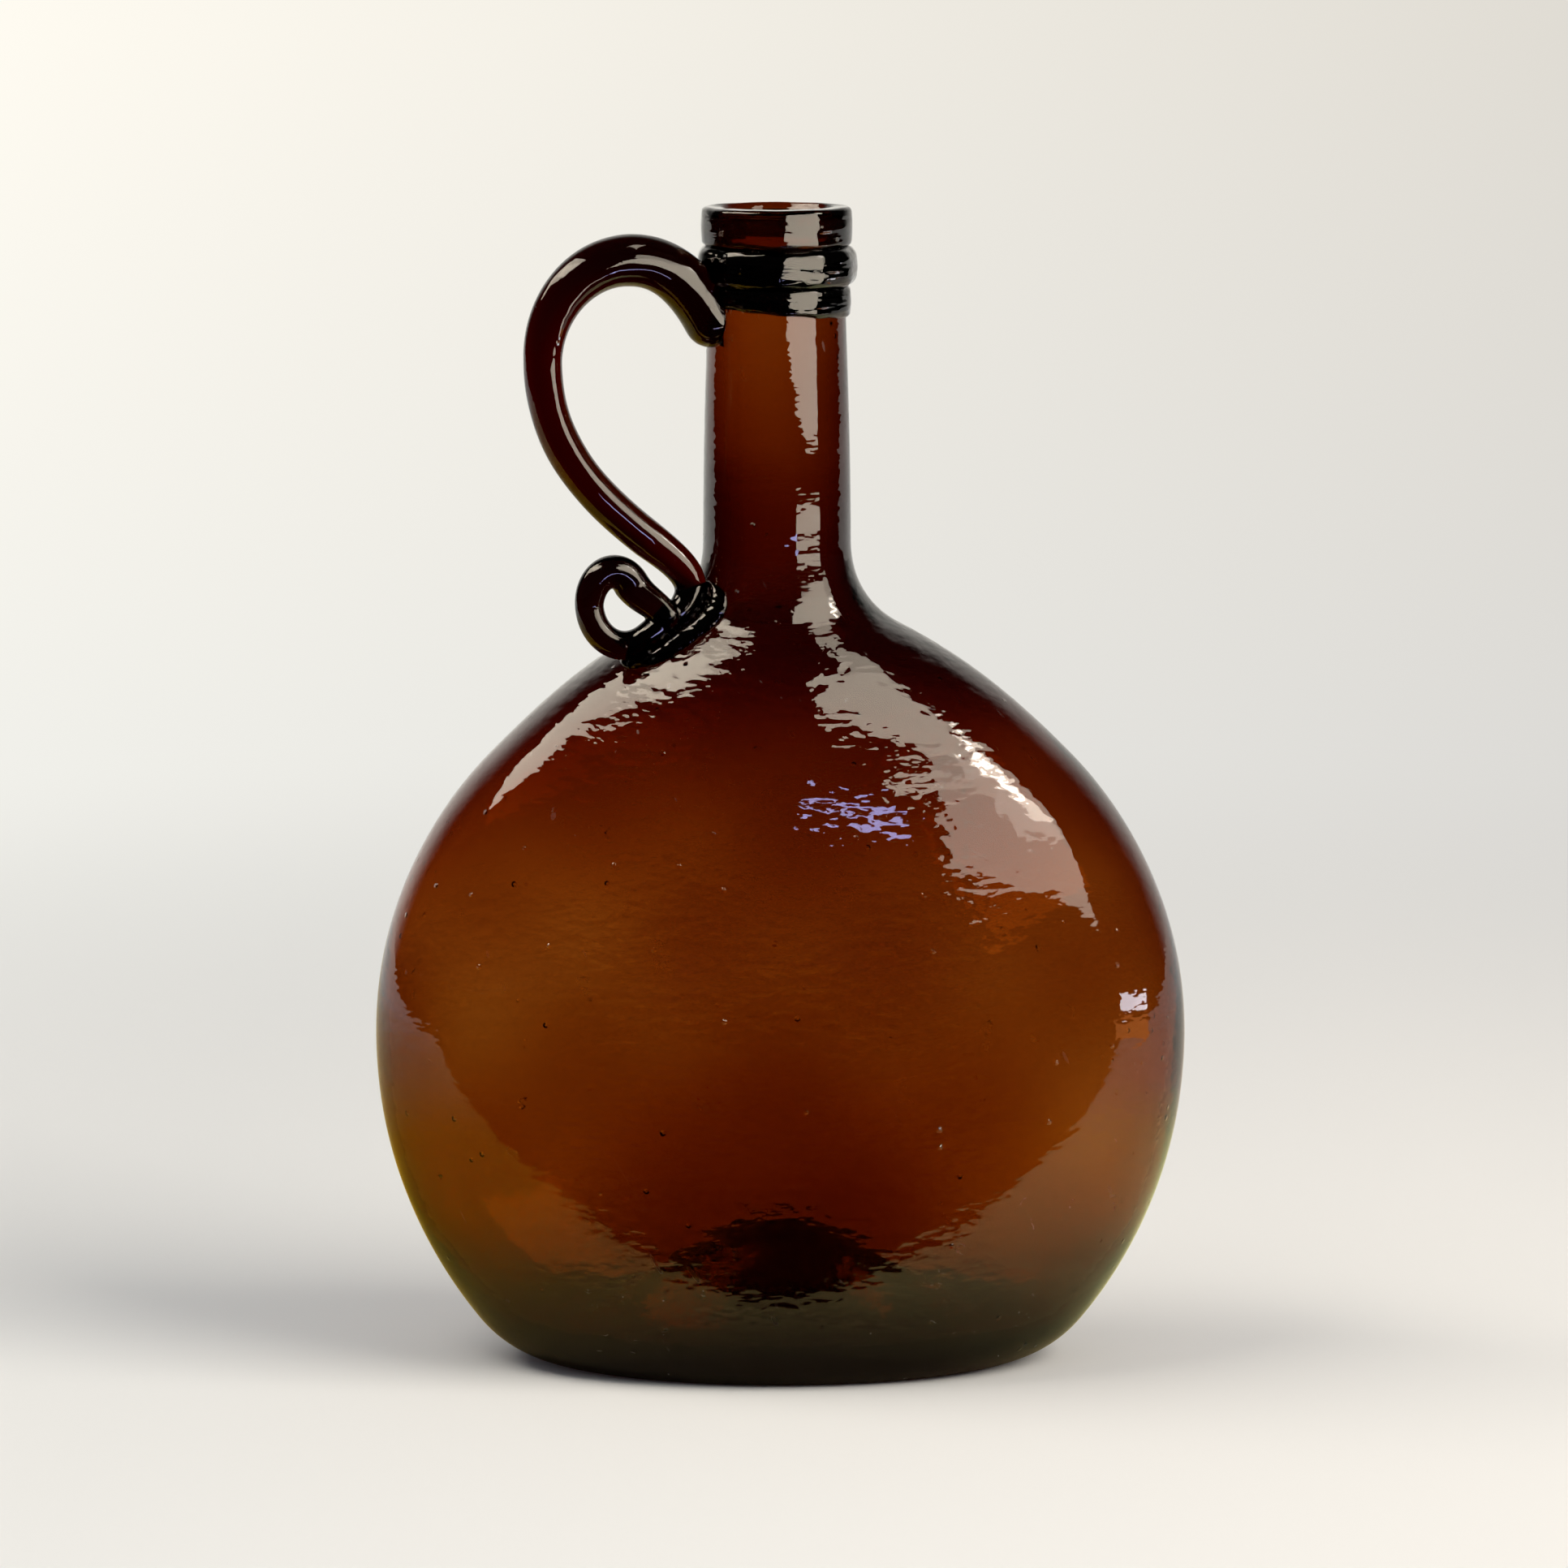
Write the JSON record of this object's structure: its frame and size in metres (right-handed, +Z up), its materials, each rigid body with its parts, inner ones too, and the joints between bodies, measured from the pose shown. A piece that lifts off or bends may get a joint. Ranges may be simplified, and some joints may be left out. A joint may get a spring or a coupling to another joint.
{
  "type": "handled glass flask",
  "caption": "Flattened round amber glass flask with a straight neck, a wound collar, a pushed-up base and an applied rod handle ending in a curl.",
  "frame": {"origin": "middle of the base on the standing plane", "axes": "+Z up through the neck, -X towards the handle, -Y towards the front, flattened face"},
  "size_m": [0.147, 0.076, 0.21],
  "materials": {
    "body_glass": "glossy, transparent amber",
    "applied_glass": "glossy, thick amber that looks nearly black"
  },
  "bodies": {
    "root": {"flask_body": "body_glass", "lip_band": "applied_glass", "collar_ring": "applied_glass", "trail_ring": "applied_glass", "handle": "applied_glass", "handle_pad": "applied_glass", "pontil_scar": "body_glass"}
  },
  "joints": []
}
